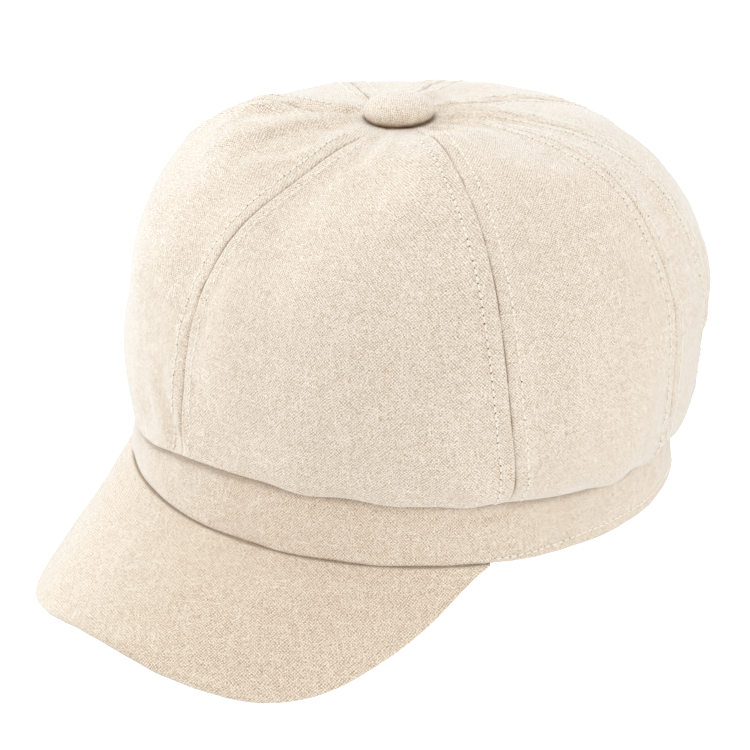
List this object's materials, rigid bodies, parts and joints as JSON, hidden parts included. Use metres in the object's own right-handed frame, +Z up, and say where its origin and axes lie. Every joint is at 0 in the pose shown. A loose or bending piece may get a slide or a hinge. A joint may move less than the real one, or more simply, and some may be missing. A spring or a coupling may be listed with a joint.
{
  "type": "newsboy cap",
  "caption": "Puffy eight-panel linen newsboy cap with a stitched head band, a cloth-covered curved visor and a covered top button.",
  "frame": {"origin": "centre of the head opening, in the plane of the band's lower edge", "axes": "+Z up through the crown's button, -Y towards the visor, X across the head"},
  "size_m": [0.1991, 0.2473, 0.165],
  "materials": {
    "linen": "natural woven linen with slubs, matte",
    "visor_linen": "natural woven linen on the bias, pulled smooth over a board",
    "seam_tape": "plain cotton bias tape, matte",
    "interlining": "stiff woven interlining",
    "sweatband": "cotton twill",
    "visor_board": "stiff board, hidden by the covers",
    "button_metal": "plain pressed sheet metal",
    "thread": "spun polyester sewing thread"
  },
  "bodies": {
    "root": {"crown_panel_1": "linen", "crown_panel_2": "linen", "crown_panel_3": "linen", "crown_panel_4": "linen", "crown_panel_5": "linen", "crown_panel_6": "linen", "crown_panel_7": "linen", "crown_panel_8": "linen", "seam_tape_1": "seam_tape", "seam_tape_2": "seam_tape", "seam_tape_3": "seam_tape", "seam_tape_4": "seam_tape", "seam_tape_5": "seam_tape", "seam_tape_6": "seam_tape", "seam_tape_7": "seam_tape", "seam_tape_8": "seam_tape", "headband_shell": "linen", "band_interlining": "interlining", "sweatband": "sweatband", "visor_top_cover": "visor_linen", "visor_board": "visor_board", "visor_under_cover": "visor_linen", "button_cover": "linen", "button_shell": "button_metal", "button_back": "button_metal", "button_washer": "button_metal"}
  },
  "joints": []
}
